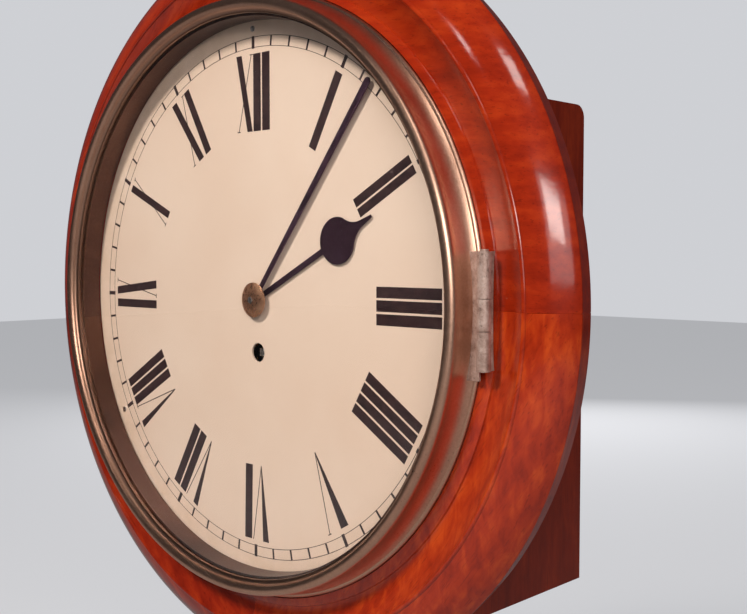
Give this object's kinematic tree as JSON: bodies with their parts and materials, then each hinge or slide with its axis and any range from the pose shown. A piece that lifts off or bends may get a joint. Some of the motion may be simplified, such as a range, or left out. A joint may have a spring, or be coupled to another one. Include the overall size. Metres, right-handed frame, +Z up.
{
  "type": "wall clock",
  "caption": "Round wooden wall clock with a hinged glazed brass bezel, Roman dial, spade and baton hands, and a pendulum movement in a back box.",
  "frame": {"origin": "on the back face of the box, which lies against the wall, on the line of the hand arbor", "axes": "+Z up, +X to the right as seen from the front, -Y out of the dial towards the viewer, +Y into the wall"},
  "size_m": [0.4122, 0.1408, 0.4122],
  "materials": {
    "mahogany": "glossy french-polished mahogany",
    "box_wood": "polished darker mahogany",
    "inner_wood": "plain unfinished softwood",
    "dial_paint": "warm cream painted dial, slightly aged",
    "brass": "lacquered brass with copper-brown toning",
    "movement_brass": "clean satin brass",
    "hinge_metal": "nickelled hinge, worn",
    "steel": "polished clock steel",
    "spring_steel": "blued spring steel",
    "blued_steel": "dark blued steel hands",
    "dial_ink": "brown-black printed numerals and minute track",
    "glass": "clear flat glass"
  },
  "bodies": {
    "case": {"surround_upper_right": "mahogany", "surround_upper_left": "mahogany", "surround_lower_left": "mahogany", "surround_lower_right": "mahogany", "case_side_right": "box_wood", "case_side_left": "box_wood", "case_top": "box_wood", "case_bottom": "box_wood", "backboard": "inner_wood", "surround_blocks": "inner_wood", "case_pegs": "inner_wood", "bottom_door_pins": "steel", "hanging_plate": "movement_brass", "wood_screws": "steel", "dial": "dial_paint", "dial_screws": "steel", "dial_feet": "movement_brass", "hinge_fixed_leaf": "hinge_metal", "hinge_pin": "hinge_metal", "catch_clip": "movement_brass", "front_plate": "movement_brass", "back_plate": "movement_brass", "plate_pillars": "movement_brass", "plate_screws": "steel", "click_spring": "spring_steel", "suspension_cock": "movement_brass", "suspension_spring": "spring_steel"},
    "bezel": {"bezel_ring": "brass", "glass": "glass", "sight_ring": "brass", "hinge_bezel_leaf": "hinge_metal", "bezel_tongue": "movement_brass"},
    "bottom_door": {"bottom_door": "box_wood", "bottom_door_knob": "brass"},
    "winding_arbor": {"barrel_arbor": "steel", "ratchet_wheel": "steel"},
    "click": {"click": "steel"},
    "barrel": {"barrel": "movement_brass", "barrel_cap": "movement_brass", "mainspring": "spring_steel"},
    "intermediate": {"intermediate_arbor": "steel", "intermediate_wheel": "movement_brass"},
    "centre": {"centre_arbor": "steel", "centre_wheel": "movement_brass", "cannon_pinion": "steel", "minute_hand": "blued_steel", "hand_collet": "brass"},
    "third": {"third_arbor": "steel", "third_wheel": "movement_brass"},
    "escape": {"escape_arbor": "steel", "escape_wheel": "movement_brass"},
    "minute_wheel": {"minute_wheel": "movement_brass"},
    "hour": {"hour_wheel": "movement_brass", "hour_hand": "blued_steel"},
    "pallets": {"anchor": "steel", "pallet_arbor": "steel", "crutch": "steel"},
    "pendulum": {"pendulum_rod": "steel", "pendulum_bob": "movement_brass"},
    "rating_nut": {"rating_nut": "movement_brass"}
  },
  "joints": [
    {"name": "bezel_hinge", "type": "hinge", "parent": "case", "child": "bezel", "pos_m": [0.1653, -0.1283, 0], "axis": [0, 0, 1], "range_deg": [0, 115]},
    {"name": "bottom_door_hinge", "type": "hinge", "parent": "case", "child": "bottom_door", "pos_m": [0, -0.0145, -0.15], "axis": [1, 0, 0], "range_deg": [0, 90]},
    {"name": "hands_turn", "type": "hinge", "parent": "case", "child": "centre", "pos_m": [0.0028, -0.085, 0], "axis": [0, 1, 0], "continuous": true},
    {"name": "hour_hand_turn", "type": "hinge", "parent": "case", "child": "hour", "pos_m": [0.0028, -0.12, 0], "axis": [0, 1, 0], "continuous": true},
    {"name": "minute_wheel_turn", "type": "hinge", "parent": "case", "child": "minute_wheel", "pos_m": [-0.01205, -0.106, 0.01485], "axis": [0, 1, 0], "continuous": true},
    {"name": "intermediate_wheel_turn", "type": "hinge", "parent": "case", "child": "intermediate", "pos_m": [-0.02108, -0.079, -0.01216], "axis": [0, 1, 0], "continuous": true},
    {"name": "barrel_turn", "type": "hinge", "parent": "case", "child": "barrel", "pos_m": [0.0028, -0.063, -0.0293], "axis": [0, 1, 0], "continuous": true},
    {"name": "third_wheel_turn", "type": "hinge", "parent": "case", "child": "third", "pos_m": [0.0158, -0.065, 0.02252], "axis": [0, 1, 0], "continuous": true},
    {"name": "escape_wheel_turn", "type": "hinge", "parent": "case", "child": "escape", "pos_m": [0.0028, -0.059, 0.03977], "axis": [0, 1, 0], "continuous": true},
    {"name": "winding_turn", "type": "hinge", "parent": "case", "child": "winding_arbor", "pos_m": [0.0028, -0.08, -0.0293], "axis": [0, 1, 0], "range_deg": [0, 1440]},
    {"name": "click_pivot", "type": "hinge", "parent": "case", "child": "click", "pos_m": [-0.0117, -0.102, -0.044], "axis": [0, 1, 0], "range_deg": [-5, 0], "stiffness_Nm_per_rad": 0.002},
    {"name": "pendulum_swing", "type": "hinge", "parent": "case", "child": "pendulum", "pos_m": [0.0028, -0.032, 0.0631], "axis": [0, 1, 0], "range_deg": [-3, 3]},
    {"name": "pallet_rock", "type": "hinge", "parent": "case", "child": "pallets", "pos_m": [0.0028, -0.059, 0.0631], "axis": [0, 1, 0], "range_deg": [-3.2, 3.2]},
    {"name": "rating_nut_turn", "type": "hinge", "parent": "pendulum", "child": "rating_nut", "pos_m": [0.0028, -0.032, -0.1245], "axis": [0, 0, 1], "continuous": true}
  ],
  "couplings": [
    {"joint": "hour_hand_turn", "follows": "hands_turn", "ratio": 0.083333},
    {"joint": "minute_wheel_turn", "follows": "hands_turn", "ratio": -0.66667},
    {"joint": "intermediate_wheel_turn", "follows": "hands_turn", "ratio": -0.14286},
    {"joint": "barrel_turn", "follows": "hands_turn", "ratio": 0.02381},
    {"joint": "third_wheel_turn", "follows": "hands_turn", "ratio": -12},
    {"joint": "escape_wheel_turn", "follows": "hands_turn", "ratio": 132},
    {"joint": "pallet_rock", "follows": "pendulum_swing", "ratio": 1}
  ]
}
